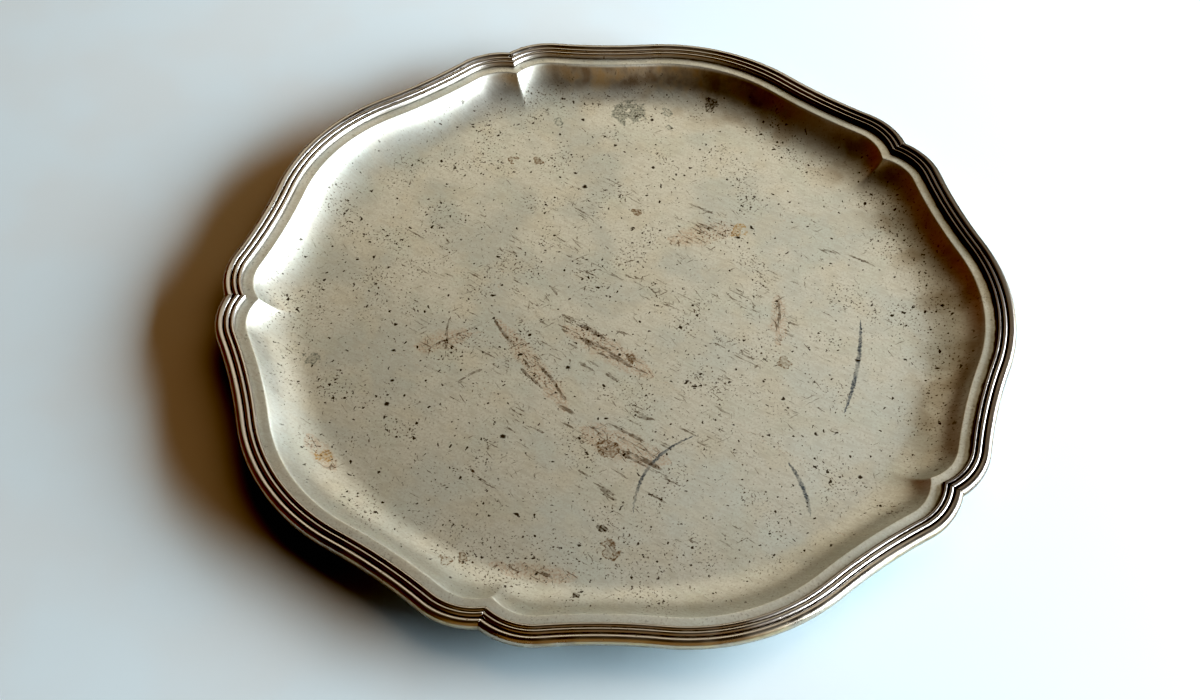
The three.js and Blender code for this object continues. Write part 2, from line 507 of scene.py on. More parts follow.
def layTone(tree, at):
    s = scuffTone
    colour = trayFinish["plate"]
    tone = {}
    for name, cloud in toneClouds.items():
        tone[name] = cloudMask(tree, at.flat, cloud)
        colour = tint(tree, product(tree, tone[name], cloud["share"]), colour, trayFinish[cloud["colour"]])
    scuffs = noiseAt(tree, layCells(tree, at.flat, *s["cells"]), 1.0, s["detail"])
    scuffed = strongest(tree, ease(tree, scuffs, *s["band"]), ease(tree, at.grain, *s["grainBand"]))
    colour = tint(tree, scuffed, colour, trayFinish["scuff"])
    under = calc(tree, "SUBTRACT", 1.0, at.upper)
    return tint(tree, product(tree, under, s["underTarnish"]), colour, trayFinish["tarnishAndShade"]), tone


# painted shade browns the cove on the right and behind, and the back wall is streaked
trayTarnishAndShade = {
    "coveBand": (108.0, 124.0),  # from the middle
    "sideBand": (30.0, 105.0),
    "heightBand": (4.8, 8.5, 1.0, 0.4),
    "share": (0.14, 0.44),
    "backBand": (95.0, 118.0),
    "backStart": (-38.0, -10.0),
    "streakPlace": (3, 8),
    "streakSize": 7.0,
    "dullBand": (0.30, 0.66, 0.7, 0.3),
    "gildBand": (0.42, 0.70, 0.0, 0.6),
}


def layTarnishAndShade(tree, at, colour, warm):
    s = trayTarnishAndShade
    # browned: painted shade, the cove's colour darkened towards the right and behind
    browned = product(
        tree, at.upper, ease(tree, at.fromMiddle, *s["coveBand"]), ease(tree, at.rise, *s["heightBand"]),
        ease(tree, at.towardsShade, *s["sideBand"]), between(tree, warm, *s["share"]),
    )
    atBack = product(tree, at.onWall, ease(tree, at.y, *s["backBand"]), ease(tree, at.x, *s["backStart"]))
    streaks = noiseAt(tree, moved(tree, at.flat, *s["streakPlace"]), s["streakSize"])
    dulled = product(tree, atBack, ease(tree, streaks, *s["dullBand"]))
    colour = tint(tree, strongest(tree, browned, dulled), colour, trayFinish["tarnishAndShade"])
    gilded = product(tree, atBack, ease(tree, streaks, *s["gildBand"]))
    return tint(tree, gilded, colour, trayFinish["ochre"])


# marks on the floor, each with its middle, the angle and length of its chord, its width and its bow
rubbedArcs = [
    {"at": (17, -72), "angle": 56, "length": 41, "width": 1.5, "bow": 6.2},
    {"at": (88, -22), "angle": 77, "length": 46, "width": 2.0, "bow": -1.9},
    {"at": (64, -78), "angle": 105, "length": 24, "width": 1.9, "bow": -1.5},
]

# scratches by the way they lie, with the length and width of one stroke, how many stray ones there are,
# and the places they crowd into
scratchSets = [
    {"angle": -33, "length": 9.0, "width": 1.0, "strays": 0.135, "marks": [
        {"at": (-18, -44), "angle": -31, "length": 7, "width": 2.4, "bow": 0.0},
        {"at": (-2, 22), "angle": -27, "length": 12, "width": 2.6, "bow": 0.0},
        {"at": (-13, -4), "angle": -35, "length": 22, "width": 3.2, "bow": 0.3},
        {"at": (5, -8), "angle": -17, "length": 10, "width": 2.2, "bow": 0.0},
        {"at": (-4, -17), "angle": -36, "length": 24, "width": 4.0, "bow": 0.2},
        {"at": (0, -30), "angle": -36, "length": 10, "width": 3.6, "bow": 0.0},
        {"at": (13, -48), "angle": -8, "length": 13, "width": 2.0, "bow": 0.0},
        {"at": (27, -54), "angle": -28, "length": 14, "width": 2.2, "bow": 0.2},
        {"at": (3, -54), "angle": -30, "length": 15, "width": 3.8, "bow": 0.0},
        {"at": (8, -66), "angle": -28, "length": 18, "width": 4.2, "bow": 0.0},
        {"at": (-7, -77), "angle": -44, "length": 19, "width": 3.2, "bow": 0.4},
        {"at": (13, -81), "angle": -39, "length": 12, "width": 2.8, "bow": 0.0},
        {"at": (35, 58), "angle": -28, "length": 14, "width": 2.0, "bow": -0.3},
        {"at": (34, 49), "angle": -26, "length": 12, "width": 2.0, "bow": 0.0},
        {"at": (90, 33), "angle": -20, "length": 20, "width": 2.4, "bow": 0.6},
        {"at": (-48, -73), "angle": -46, "length": 17, "width": 1.4, "bow": -1.4},
        {"at": (39, -44), "angle": -40, "length": 8, "width": 1.8, "bow": 0.0},
        {"at": (18, -60), "angle": -35, "length": 11, "width": 2.6, "bow": 0.0},
        {"at": (16, -73), "angle": -35, "length": 14, "width": 3.6, "bow": 0.0},
        {"at": (1, -72), "angle": -35, "length": 8, "width": 3.0, "bow": 0.0},
        {"at": (6, 21), "angle": -20, "length": 6, "width": 2.0, "bow": 0.0},
        {"at": (-21, -5), "angle": -35, "length": 8, "width": 2.2, "bow": 0.0},
        {"at": (-11, -24), "angle": -40, "length": 8, "width": 2.4, "bow": 0.0},
        {"at": (-78, 42), "angle": -35, "length": 16, "width": 1.4, "bow": 0.0},
        {"at": (23, -100), "angle": -6, "length": 14, "width": 1.4, "bow": 0.0},
        {"at": (-30, -53), "angle": -20, "length": 9, "width": 2.4, "bow": 0.0},
    ]},
    {"angle": -58, "length": 9.0, "width": 1.0, "strays": 0.08, "marks": [
        {"at": (-42, -8), "angle": -59, "length": 18, "width": 2.0, "bow": -0.4},
        {"at": (-34, -20), "angle": -70, "length": 11, "width": 2.6, "bow": 0.0},
        {"at": (-24, -31), "angle": -58, "length": 22, "width": 2.4, "bow": 0.4},
        {"at": (-32, -29), "angle": -49, "length": 15, "width": 2.2, "bow": 0.0},
        {"at": (-24, 14), "angle": -62, "length": 7, "width": 2.0, "bow": 0.0},
        {"at": (-47, 37), "angle": -50, "length": 9, "width": 2.0, "bow": 0.0},
    ]},
    {"angle": 31, "length": 9.0, "width": 1.0, "strays": 0.07, "marks": [
        {"at": (-56, -7), "angle": 31, "length": 32, "width": 1.5, "bow": 0.3},
        {"at": (-54, -29), "angle": 37, "length": 11, "width": 3.0, "bow": 0.3},
        {"at": (6, 29), "angle": 25, "length": 12, "width": 1.4, "bow": 0.0},
    ]},
    {"angle": 88, "length": 6.0, "width": 1.0, "strays": 0.06, "marks": [
        {"at": (-63, -10), "angle": 88, "length": 20, "width": 3.2, "bow": 0.3},
        {"at": (62, 0), "angle": 87, "length": 20, "width": 2.6, "bow": 0.3},
    ]},
]

rubbedPatches = [
    {"at": (-31, -23), "angle": -57, "length": 52, "width": 10, "bow": 0.0},
    {"at": (-65, -12), "angle": 20, "length": 22, "width": 12, "bow": 0.0},
    {"at": (2, -60), "angle": -26, "length": 36, "width": 16, "bow": 0.0},
    {"at": (-3, -16), "angle": -36, "length": 42, "width": 13, "bow": 0.0},
    {"at": (35, 44), "angle": 15, "length": 30, "width": 13, "bow": 0.0},
    {"at": (62, 0), "angle": 87, "length": 26, "width": 8, "bow": 0.0},
    {"at": (-28, -113), "angle": -10, "length": 30, "width": 9, "bow": 0.0},
    {"at": (-105, -65), "angle": -55, "length": 20, "width": 9, "bow": 0.0},
]

# places where the pits crowd together
pitClusters = [
    {"at": (112, 2), "angle": 90, "length": 170, "width": 24, "bow": -10.0},
    {"at": (-30, 117), "angle": 10, "length": 60, "width": 18, "bow": 0.0},
    {"at": (-118, -4), "angle": 80, "length": 46, "width": 20, "bow": 0.0},
    {"at": (-84, 22), "angle": 20, "length": 44, "width": 18, "bow": 0.0},
    {"at": (-20, -106), "angle": -5, "length": 90, "width": 24, "bow": 0.0},
]

# dried drops and blots, each with its middle, radius, fullness and colour
driedDrops = [
    {"at": (-24, 108), "radius": 2.6, "fill": 0.2, "colour": "greyStain"},
    {"at": (22, 115), "radius": 3.0, "fill": 0.3, "colour": "greyStain"},
    {"at": (23, 104), "radius": 2.5, "fill": 0.1, "colour": "greyStain"},
    {"at": (6, 114), "radius": 8.0, "fill": 0.9, "colour": "greyStain"},
    {"at": (41, 118), "radius": 3.2, "fill": 0.9, "colour": "pit"},
    {"at": (-32, 84), "radius": 2.4, "fill": 0.7, "colour": "tarnishAndShade"},
    {"at": (-42, 85), "radius": 2.2, "fill": 0.4, "colour": "tarnishAndShade"},
    {"at": (9, 56), "radius": 2.0, "fill": 0.9, "colour": "tarnishAndShade"},
    {"at": (49, 46), "radius": 4.0, "fill": 0.7, "colour": "ochre"},
    {"at": (63, -21), "radius": 3.0, "fill": 0.4, "colour": "tarnishAndShade"},
    {"at": (5, -20), "radius": 2.6, "fill": 0.9, "colour": "tarnishAndShade"},
    {"at": (-3, -61), "radius": 4.4, "fill": 0.6, "colour": "tarnishAndShade"},
    {"at": (-5, -95), "radius": 2.2, "fill": 1.0, "colour": "pit"},
    {"at": (-3, -104), "radius": 4.2, "fill": 0.3, "colour": "tarnishAndShade"},
    {"at": (-14, -122), "radius": 1.6, "fill": 1.0, "colour": "pit"},
    {"at": (-58, -109), "radius": 2.7, "fill": 0.2, "colour": "tarnishAndShade"},
    {"at": (-53, -108), "radius": 2.3, "fill": 0.6, "colour": "tarnishAndShade"},
    {"at": (-113, -21), "radius": 4.0, "fill": 0.5, "colour": "greyStain"},
    {"at": (-104, -66), "radius": 3.0, "fill": 0.6, "colour": "ochre"},
]


# a list of marks as one mask
def drawMarks(tree, vector, marks):
    drawn = []
    for mark in marks:
        half = (mark["length"] / 2, mark["width"] / 2, 1)
        laid = addNode(tree, "Mapping", {
            "Vector": vector, "Location": (*mark["at"], 0), "Rotation": (0, 0, math.radians(mark["angle"])),
            "Scale": half,
        }, vector_type="TEXTURE")
        drawn.append(useGroup(tree, longMark, Vector=laid.outputs[0], Bow=mark["bow"] / half[1]))
    return strongest(tree, *drawn)


# how strongly the patches rubbed to the copper, the dried drops and the blue-grey arcs show
rubbing = {
    "patchShare": (0.07, 0.31),  # from whole to broken grain
    "dropShare": (0.35, 0.85),
    "arcShare": (0.6, 1.0),
    "arcNoise": 9.0,
    "arcBand": (0.40, 0.58, 0.5, 1.0),
}


def layRubbing(tree, at, colour):
    s = rubbing
    rubbed = product(tree, drawMarks(tree, at.warped, rubbedPatches), at.upper)
    amount = product(tree, rubbed, between(tree, at.broken, *s["patchShare"]))
    colour = tint(tree, amount, colour, trayFinish["copper"])
    dotted = between(tree, at.broken, *s["dropShare"])
    for drop in driedDrops:
        laid = addNode(tree, "Mapping", {
            "Vector": at.warped, "Location": (*drop["at"], 0), "Scale": (drop["radius"], drop["radius"], 1),
        }, vector_type="TEXTURE")
        mark = useGroup(tree, driedDrop, Vector=laid.outputs[0], Fill=drop["fill"])
        colour = tint(tree, product(tree, mark, at.upper, dotted), colour, trayFinish[drop["colour"]])
    arcs = product(tree, drawMarks(tree, at.worn, rubbedArcs), at.onFloor)
    faint = ease(tree, noiseAt(tree, at.flat, s["arcNoise"]), *s["arcBand"])
    amount = product(tree, arcs, faint, between(tree, at.broken, *s["arcShare"]))
    return tint(tree, amount, colour, trayFinish["blueGrey"]), rubbed


# scratches are thickest on the middle of the floor and over the rubbed patches
scratching = {
    "crowd": {"at": (7, 11), "size": 14.0, "level": 0.46, "range": 0.2},
    "crowdBand": (45.0, 105.0, 1.0, 0.2),  # from the middle
    "wander": (1.2, 0.5),  # size and reach
    "markLift": 0.25,
    "strokeBand": (0.755, 0.815),
}


def drawScratches(tree, at, rubbed):
    s = scratching
    crowd = product(tree, cloudMask(tree, at.flat, s["crowd"]), ease(tree, at.fromMiddle, *s["crowdBand"]))
    crowd = strongest(tree, crowd, rubbed)
    drawn = wander(tree, at.flat, *s["wander"])
    strokes = []
    for lie in scratchSets:
        lines = noiseAt(tree, layCells(tree, drawn, lie["angle"], lie["length"], lie["width"]), 1.0)
        crowded = product(tree, drawMarks(tree, at.worn, lie["marks"]), s["markLift"])
        raised = calc(tree, "ADD", lines, calc(tree, "MULTIPLY_ADD", crowd, lie["strays"], crowded))
        strokes.append(ease(tree, raised, *s["strokeBand"]))
    return product(tree, strongest(tree, *strokes), at.onFloor)


# specks of corrosion come through the grain, more of them in clusters and along the scratches
corrosion = {
    "dense": {"at": (-60, 25), "size": 20.0, "level": 0.46, "range": 0.22},
    "clusterShare": 0.75,
    "denseLift": 0.10,
    "scratchLift": 0.08,
    "speckBand": (0.72, 0.81),
    "fadeBand": (1.0, 9.0, 1.0, 0.25),  # height above the floor
    "strengthPlace": (31, 5),
    "strengthSize": 3.0,
    "strengthBand": (0.35, 0.6, 0.45, 0.95),
    "scratchShare": 0.65,
    "coarsePlace": (12, 12),
    "coarseSize": 2.2,
    "coarseLift": 0.05,
    "coarseBand": (0.74, 0.78),
    "smallPits": {"spacing": 6.0, "radius": 0.8, "share": 0.4},
    "largePits": {"spacing": 14.0, "radius": 1.4, "share": 0.15},
    "pitShare": 0.92,
}


def layCorrosion(tree, at, colour, scored):
    s = corrosion
    clusters = product(tree, drawMarks(tree, at.warped, pitClusters), s["clusterShare"])
    dense = strongest(tree, cloudMask(tree, at.flat, s["dense"]), clusters)
    wear = calc(tree, "MULTIPLY_ADD", dense, s["denseLift"], product(tree, scored, s["scratchLift"]))
    fading = product(tree, at.upper, ease(tree, at.rise, *s["fadeBand"]))
    specks = product(tree, ease(tree, calc(tree, "ADD", at.grain, wear), *s["speckBand"]), fading)
    strength = noiseAt(tree, moved(tree, at.flat, *s["strengthPlace"]), s["strengthSize"])
    strength = ease(tree, strength, *s["strengthBand"])
    colour = tint(tree, product(tree, scored, strength, s["scratchShare"]), colour, trayFinish["speckAndShade"])
    colour = tint(tree, product(tree, specks, strength), colour, trayFinish["speckAndShade"])
    coarse = noiseAt(tree, moved(tree, at.flat, *s["coarsePlace"]), s["coarseSize"])
    coarse = calc(tree, "MULTIPLY_ADD", dense, s["coarseLift"], coarse)
    pitted = strongest(
        tree, ease(tree, coarse, *s["coarseBand"]), pitMask(tree, at.warped, s["smallPits"]),
        pitMask(tree, at.worn, s["largePits"]),
    )
    pitted = product(tree, pitted, fading)
    colour = tint(tree, product(tree, pitted, s["pitShare"]), colour, trayFinish["pit"])
    return colour, strongest(tree, pitted, specks)


# dirt caught along the foot of the moulding, with painted shade in the corner, most of it on the side that
# gets painted shade
footDirtAndShade = {
    "noiseSize": 6.0,
    "uneven": -1.4,
    "band": (-0.7, 0.1, 1.0, 0.0),  # from the foot
    "sideBand": (-60.0, 100.0, 0.15, 0.85),
}


def layFootDirtAndShade(tree, at, colour):
    s = footDirtAndShade
    soft = noiseAt(tree, at.flat, s["noiseSize"])
    footAway = calc(tree, "MULTIPLY_ADD", soft, s["uneven"], readLayer(tree, "footAway"))
    # dirt and painted shade of the corner between flange and moulding
    dirtAndShade = product(
        tree, at.upper, ease(tree, footAway, *s["band"]), ease(tree, at.towardsShade, *s["sideBand"]),
    )
    return tint(tree, dirtAndShade, colour, trayFinish["speckAndShade"]), dirtAndShade


def makeTrayPlate():
    s = trayFinish
    material, tree, shader, spot = newMaterial("trayPlate")
    at = findPlaces(tree, spot)
    colour, tone = layTone(tree, at)
    colour = layTarnishAndShade(tree, at, colour, tone["warm"])
    colour, rubbed = layRubbing(tree, at, colour)
    scored = drawScratches(tree, at, rubbed)
    colour, corroded = layCorrosion(tree, at, colour, scored)
    colour, dirtAndShade = layFootDirtAndShade(tree, at, colour)
    feed(tree, shader.inputs["Base Color"], colour)
    shader.inputs["Metallic"].default_value = 1.0

    # the wall is the smoothest
    roughness = between(tree, at.onWall, s["floorRoughness"], s["wallRoughness"])
    roughness = calc(tree, "ADD", roughness, between(tree, tone["grey"], *s["cloudRoughness"]))
    marks = strongest(tree, corroded, dirtAndShade)
    feed(tree, shader.inputs["Roughness"], calc(tree, "MULTIPLY_ADD", marks, s["markRoughness"], roughness))

    # relief of the polishing lines and the grain
    lines = noiseAt(tree, layCells(tree, at.flat, *s["polishLines"]), 1.0)
    relief = calc(tree, "MULTIPLY_ADD", lines, s["lineRelief"], product(tree, at.grain, s["grainRelief"]))
    addBump(tree, shader, relief, s["reliefStrength"], s["reliefDepth"])
    return material


# plate of the mouldings: bright reed tops, black grooves, brassy wear outside and painted shade on the right
mouldingFinish = {
    "plate": (0.53, 0.515, 0.50),
    "groove": (0.022, 0.020, 0.019),
    "brassy": (0.65, 0.57, 0.41),
    "brown": (0.16, 0.10, 0.055),
    # dark colour of the painted shade on the right and of the dirt on the inner side
    "shadeAndDirt": (0.045, 0.035, 0.04),
    "roughness": 0.27,
    "patchRoughness": 0.08,  # added
    "dirtRoughness": 0.25,
    "shadeBand": (80.0, 120.0),  # to the right
    "shadeShare": 0.65,
    "cleanBand": (90.0, 135.0),  # to the front and the back
    "grooveNoise": 2.4,
    "grooveUneven": -0.4,  # this and the next two move the edge of the grime
    "grooveShaded": -0.3,
    "grooveClean": 0.15,
    "grimeBand": (-0.05, 0.32, 1.0, 0.0),
    "patches": {"at": (0, 0), "size": 14.0, "level": 0.36, "range": 0.28},
    "brassyShare": (0.4, 1.0),
    "browned": {"at": (35, 15), "size": 6.0, "level": 0.46, "range": 0.24},
    "brownShare": 0.25,
    "specks": {"spacing": 2.6, "radius": 0.4, "share": 0.25},
    "speckWander": (0.8, 0.5),  # size and reach
    "speckShare": 0.7,
    "settledShadeBand": (20.0, 110.0),  # to the right
    "innerBand": (0.1, 0.6),
    "settledShadeShare": 0.85,
    "grainSize": 0.9,
    "grainRelief": 0.25,
    "reliefStrength": 0.4,
    "reliefDepth": 0.00008,
}


# dirt in the grooves, widened on the right by painted shade, and narrower in front and behind
def grooveGrime(tree, spot, shadedRight, clean):
    s = mouldingFinish
    away = readLayer(tree, "grooveAway")
    away = calc(tree, "MULTIPLY_ADD", noiseAt(tree, spot, s["grooveNoise"]), s["grooveUneven"], away)
    away = calc(tree, "MULTIPLY_ADD", shadedRight, s["grooveShaded"], away)
    away = calc(tree, "MULTIPLY_ADD", clean, s["grooveClean"], away)
    return ease(tree, away, *s["grimeBand"])


def makeMouldingPlate():
    s = mouldingFinish
    material, tree, shader, spot = newMaterial("mouldingPlate")
    outside = readLayer(tree, "outerSide")
    parts = addNode(tree, "SeparateXYZ", {"Vector": spot})
    shadedRight = ease(tree, parts.outputs["X"], *s["shadeBand"])
    clean = ease(tree, calc(tree, "ABSOLUTE", parts.outputs["Y"]), *s["cleanBand"])
    grime = grooveGrime(tree, spot, shadedRight, clean)
    patches = cloudMask(tree, spot, s["patches"])
    amount = product(tree, outside, between(tree, patches, *s["brassyShare"]))
    colour = tint(tree, amount, s["plate"], s["brassy"])
    amount = product(tree, cloudMask(tree, spot, s["browned"]), outside, s["brownShare"])
    colour = tint(tree, amount, colour, s["brown"])
    specks = pitMask(tree, wander(tree, spot, *s["speckWander"]), s["specks"])
    colour = tint(tree, product(tree, specks, s["speckShare"]), colour, s["brown"])
    # painted shade: the right-hand side of the mouldings darkened in colour
    colour = tint(tree, product(tree, shadedRight, s["shadeShare"]), colour, s["shadeAndDirt"])
    colour = tint(tree, grime, colour, s["groove"])

    # dirt and painted shade darken the inner side, on the right
    settledDirtAndShade = product(
        tree, ease(tree, parts.outputs["X"], *s["settledShadeBand"]),
        ease(tree, readLayer(tree, "innerSide"), *s["innerBand"]), s["settledShadeShare"],
    )
    feed(tree, shader.inputs["Base Color"], tint(tree, settledDirtAndShade, colour, s["shadeAndDirt"]))
    shader.inputs["Metallic"].default_value = 1.0
    roughness = calc(tree, "MULTIPLY_ADD", patches, s["patchRoughness"], s["roughness"])
    roughness = calc(tree, "MULTIPLY_ADD", strongest(tree, grime, specks), s["dirtRoughness"], roughness)
    feed(tree, shader.inputs["Roughness"], roughness)
    grain = product(tree, noiseAt(tree, spot, s["grainSize"]), s["grainRelief"])
    addBump(tree, shader, calc(tree, "SUBTRACT", grain, specks), s["reliefStrength"], s["reliefDepth"])
    return material


# dull grey solder, darkened in patches
solderFinish = {
    "solder": (0.16, 0.15, 0.14),
    "oxide": (0.03, 0.026, 0.023),
    "patches": {"at": (0, 0), "size": 4.0, "level": 0.3, "range": 0.32},
    "roughness": (0.55, 0.80),  # from solder to oxide
    "grainSize": 0.6,
    "reliefStrength": 0.5,
    "reliefDepth": 0.0001,
}


def makeSolderGrey():
    s = solderFinish
    material, tree, shader, spot = newMaterial("solderGrey")
    oxide = cloudMask(tree, spot, s["patches"])
    feed(tree, shader.inputs["Base Color"], tint(tree, oxide, s["solder"], s["oxide"]))
    feed(tree, shader.inputs["Roughness"], between(tree, oxide, *s["roughness"]))
    shader.inputs["Metallic"].default_value = 1.0
    addBump(tree, shader, noiseAt(tree, spot, s["grainSize"]), s["reliefStrength"], s["reliefDepth"])
    return material


# pressed sheet: flat round floor, coved wall with a crease below each cusp, flat flange
trayShape = {
    "sheet": 0.0012,
    "overhang": 0.0003,  # the moulding stands out past the edge of the sheet
    "flangeWidth": 0.0112,
    "wallRun": 0.0172,  # below a cusp
    "hubRadius": 0.008,
    "floorRings": 14,
    "wallSteps": 14,
    "flangeSteps": 6,
    "creaseEnds": 4,  # wall rows above the floor
    "creaseRounding": 0.0006,
    "creaseSegments": 3,
    "arrisAngle": math.radians(20),  # least bend between wall and flange
    "arrisRounding": 0.0014,
    "arrisSegments": 5,
    "edgeAngle": math.radians(70),
    "edgeRounding": 0.0003,
    "edgeSegments": 2,
    "levelSlack": 1e-6,
    "waveHeight": 0.00010,
    "waveLength": 0.045,
    "waveFade": 4,
}


# hand-polished sheet is never quite flat
def waveAt(place, reach):
    soft = noise.noise(place / trayShape["waveLength"]) * 0.5 + 0.5
    inward = max(0.0, 1 - (place.xy.length / reach) ** trayShape["waveFade"])
    return trayShape["waveHeight"] * soft * inward


def makeTray():
    s = trayShape
    floorTop = trayBox[0].z + s["sheet"]
    flangeTop = trayBox[1].z
    wallTop = rimLine(s["overhang"] + s["flangeWidth"])
    floorRadius = min(point.length for point in wallTop) - s["wallRun"]

    def onWall(share):
        places = []
        for point in wallTop:
            run = point.length - floorRadius
            slope = 2 * math.atan((flangeTop - floorTop) / run)
            arc = run / math.sin(slope)
            plan = point.normalized() * (floorRadius + arc * math.sin(slope * share))
            places.append(Vector((plan.x, plan.y, floorTop + arc * (1 - math.cos(slope * share)))))
        return places

    bm = bmesh.new()
    hub = bmesh.ops.create_circle(
        bm, cap_ends=True, cap_tris=True, segments=len(wallTop), radius=s["hubRadius"],
    )
    bmesh.ops.translate(bm, verts=bm.verts, vec=(0, 0, floorTop))
    row = [vert for vert in hub["verts"] if vert.is_boundary]
    for vert, point in zip(row, wallTop):
        vert.co.xy = point.normalized() * s["hubRadius"]
    for ring in range(1, s["floorRings"] + 1):
        radius = s["hubRadius"] + (floorRadius - s["hubRadius"]) * ring / s["floorRings"]
        row = growRow(bm, row, atHeight([point.normalized() * radius for point in wallTop], floorTop))
    for vert in bm.verts:
        vert.co.z += waveAt(vert.co, floorRadius)
    rows = [row]
    for step in range(1, s["wallSteps"] + 1):
        rows.append(growRow(bm, rows[-1], onWall(step / s["wallSteps"])))
    row = rows[-1]
    for step in range(1, s["flangeSteps"] + 1):
        inset = s["overhang"] + s["flangeWidth"] * (1 - step / s["flangeSteps"])
        row = growRow(bm, row, atHeight(rimLine(inset), flangeTop))

    # round the crease that runs down the wall from each cusp, then the arris between wall and flange
    perLobe = len(wallTop) // rimShape["lobes"]
    creases = []
    for cusp in range(perLobe - 1, len(wallTop), perLobe):
        creases += edgesAlong(bm, [wallRow[cusp] for wallRow in rows[s["creaseEnds"]:]], False)
    roundEdges(bm, creases, s["creaseRounding"], s["creaseSegments"])
    level = flangeTop - s["levelSlack"]
    arris = [
        edge for edge in bm.edges
        if edge.calc_face_angle(0) > s["arrisAngle"] and min(vert.co.z for vert in edge.verts) > level
    ]
    roundEdges(bm, arris, s["arrisRounding"], s["arrisSegments"])
    bmesh.ops.recalc_face_normals(bm, faces=bm.faces)
    if sum(face.normal.z for face in bm.faces) < 0:
        bmesh.ops.reverse_faces(bm, faces=bm.faces)
    bmesh.ops.solidify(bm, geom=bm.faces[:], thickness=s["sheet"])
    sheetEdges = [edge for edge in bm.edges if edge.calc_face_angle(0) > s["edgeAngle"]]
    roundEdges(bm, sheetEdges, s["edgeRounding"], s["edgeSegments"])

    # for the finish: which side is up, and millimetres in from the foot of the moulding
    upperSide = bm.verts.layers.float.new("upperSide")
    footAway = bm.verts.layers.float.new("footAway")
    bm.normal_update()
    nearRim = floorRadius + s["wallRun"] / 2
    for vert in bm.verts:
        vert[upperSide] = 1.0 if vert.normal.z > 0 else 0.0
        inset = insetAt(vert.co) if vert.co.xy.length > nearRim else rimShape["radius"] - nearRim
        vert[footAway] = toMillimetres * (inset - reedFoot())
    return bm


# drawn moulding: three half-round reeds side by side on a flat base
reedShape = {
    "radius": (0.00185, 0.0011, 0.00105),  # outer, middle, inner
    "height": (0.0020, 0.0021, 0.00185),
    "overlap": 0.00015,
    "steps": (16, 10, 10),
    "endGap": 0.00005,
    "setBack": 0.00005,  # keeps the true curve inside the faceted one
    "endRounding": 0.00012,
    "endSegments": 2,
    "wear": 0.00004,  # least worn off the tops
    "unevenWear": 0.00006,
    "wearLength": 0.006,
}


# centres of the reeds: inset from the platter's edge, and height
def reedCentres():
    base = mouldingBox[0].z
    radius = reedShape["radius"]
    centres = [Vector((radius[0], base + reedShape["height"][0] - radius[0]))]
    for index in (1, 2):
        rise = base + reedShape["height"][index] - radius[index]
        reach = radius[index - 1] + radius[index] - reedShape["overlap"]
        step = math.sqrt(reach ** 2 - (centres[-1].y - rise) ** 2)
        centres.append(Vector((centres[-1].x + step, rise)))
    return centres


def reedFoot():
    return reedCentres()[2].x + reedShape["radius"][2]


# spins the section from the inner foot over the reeds to the outer foot, in the upright XZ plane
def drawSection(bm):
    base = mouldingBox[0].z
    radius = reedShape["radius"]
    centres = reedCentres()
    grooves = [
        meetOnRight(centres[1], radius[1], centres[0], radius[0]),
        meetOnRight(centres[2], radius[2], centres[1], radius[1]),
    ]
    starts = [bearing(centres[0], grooves[0]), bearing(centres[1], grooves[1]), 0]
    ends = [math.pi, bearing(centres[1], grooves[0]), bearing(centres[2], grooves[1])]
    grooveAway = bm.verts.layers.float.new("grooveAway")
    outerSide = bm.verts.layers.float.new("outerSide")
    innerSide = bm.verts.layers.float.new("innerSide")
    section = [bm.verts.new((reedFoot(), 0, base))]

    def upright(height):
        grown = bmesh.ops.extrude_vert_indiv(bm, verts=section[-1:])["verts"][0]
        grown.co.z = height
        section.append(grown)

    upright(centres[2].y)
    for index in (2, 1, 0):
        for step in range(reedShape["steps"][index]):
            turn = (ends[index] - starts[index]) / reedShape["steps"][index]
            spun = bmesh.ops.spin(
                bm, geom=section[-1:], cent=(centres[index].x, 0, centres[index].y), axis=(0, -1, 0),
                angle=turn, steps=1, use_merge=False,
            )
            section += [part for part in spun["geom_last"] if isinstance(part, bmesh.types.BMVert)]
    upright(base)
    bmesh.ops.contextual_create(bm, geom=[section[-1], section[0]])

    # for the finish: millimetres from the nearest groove, and how far down the outer and inner sides
    for vert in section:
        spot = Vector((vert.co.x, vert.co.z))
        vert[grooveAway] = toMillimetres * min((spot - groove).length for groove in grooves)
        vert[outerSide] = max(0.0, (centres[0].x - spot.x) / radius[0])
        vert[innerSide] = max(0.0, (spot.x - centres[2].x) / radius[2])
    return section


def makeMoulding(number):
    s = reedShape
    bm = bmesh.new()
    first = drawSection(bm)
    lines = [atHeight(lobeLine(vert.co.x + s["setBack"], s["endGap"]), vert.co.z) for vert in first]
    columns = list(zip(*lines))
    for vert, place in zip(first, columns[0]):
        vert.co = place
    row = first
    for column in columns[1:]:
        row = growRow(bm, row, column)
    ends = [bmesh.ops.contextual_create(bm, geom=end)["faces"][0] for end in (first, row)]
    bmesh.ops.recalc_face_normals(bm, faces=bm.faces)
    turn = Matrix.Rotation(2 * halfLobe * (number - 1), 3, "Z")
    bmesh.ops.rotate(bm, verts=bm.verts, cent=(0, 0, 0), matrix=turn)

    # ease the sawn ends, then wear the reeds a little unevenly
    base = mouldingBox[0].z
    sawn = [edge for end in ends for edge in end.edges if max(vert.co.z for vert in edge.verts) > base]
    roundEdges(bm, sawn, s["endRounding"], s["endSegments"])
    bm.normal_update()
    for vert in bm.verts:
        soft = noise.noise(vert.co / s["wearLength"]) * 0.5 + 0.5
        above = min(1.0, (vert.co.z - base) / s["radius"][2])
        vert.co -= vert.normal * above * (s["wear"] + s["unevenWear"] * soft)
    return bm


trayPlate = makeTrayPlate()
mouldingPlate = makeMouldingPlate()
solderGrey = makeSolderGrey()
print("finishes made")

